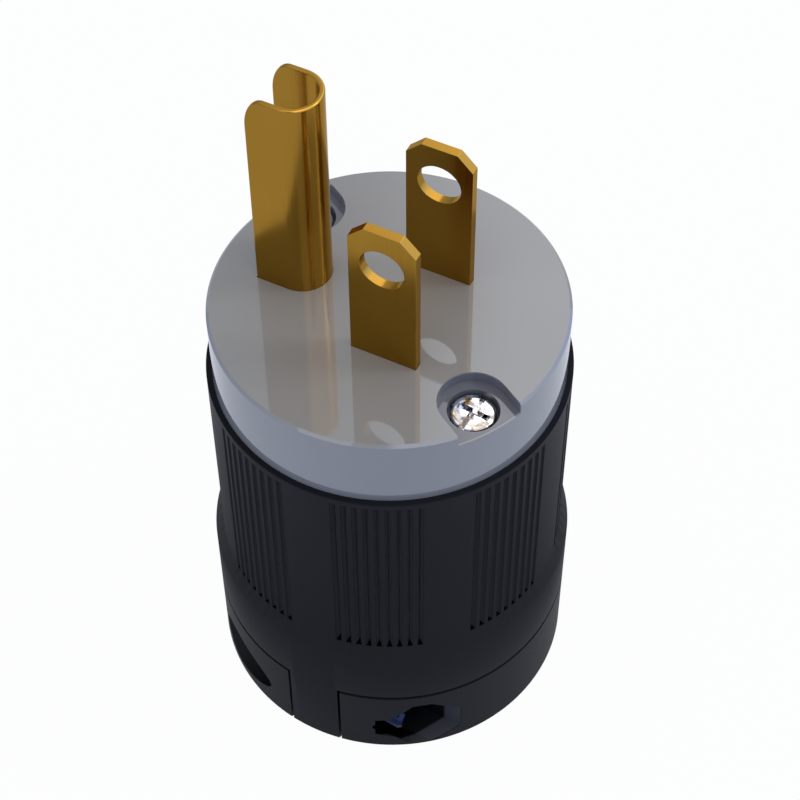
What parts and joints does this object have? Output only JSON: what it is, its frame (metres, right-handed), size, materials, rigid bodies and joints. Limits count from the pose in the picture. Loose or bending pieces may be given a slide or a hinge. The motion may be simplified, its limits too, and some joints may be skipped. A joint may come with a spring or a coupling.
{
  "type": "straight-blade power plug",
  "caption": "Round hand-wired mains plug with flat blades, a U-shaped ground pin, a ribbed grip and a screw-drawn cord clamp at the rear.",
  "frame": {"origin": "centre of the flat cord-end face, on the plug's axis", "axes": "+Z along the plug towards the blades, X from the neutral blade to the line blade, ground pin on the -Y side"},
  "size_m": [0.0412, 0.0412, 0.083],
  "materials": {
    "face_grey": "gloss",
    "shell_black": "satin",
    "brass": "polished",
    "carrier_white": "satin",
    "screw_brass": "polished",
    "screw_nickel": "polished",
    "screw_green": "satin",
    "plate_steel": "plated",
    "insert_brass": "turned",
    "clamp_steel": "zinc plated"
  },
  "bodies": {
    "plug": {"face": "face_grey", "shell": "shell_black", "blade_line": "brass", "blade_neutral": "brass", "ground_pin": "brass", "carrier": "carrier_white", "terminal_screw_line": "screw_brass", "terminal_screw_neutral": "screw_nickel", "terminal_screw_ground": "screw_green", "pressure_plate_line": "plate_steel", "pressure_plate_neutral": "plate_steel", "pressure_plate_ground": "plate_steel", "assembly_screw_1": "screw_nickel", "assembly_screw_2": "screw_nickel", "insert_1": "insert_brass", "insert_2": "insert_brass"},
    "clamp_half_a": {"jaw_a": "shell_black", "clamp_nut_1": "clamp_steel", "clamp_screw_2": "clamp_steel"},
    "clamp_half_b": {"jaw_b": "shell_black", "clamp_nut_2": "clamp_steel", "clamp_screw_1": "clamp_steel"}
  },
  "joints": [
    {"name": "clamp_half_a_slide", "type": "slide", "parent": "plug", "child": "clamp_half_a", "axis": [0, 1, 0], "range_m": [0, 0.0015]},
    {"name": "clamp_half_b_slide", "type": "slide", "parent": "plug", "child": "clamp_half_b", "axis": [0, -1, 0], "range_m": [0, 0.0015]}
  ],
  "couplings": [
    {"joint": "clamp_half_b_slide", "follows": "clamp_half_a_slide", "ratio": 1}
  ]
}
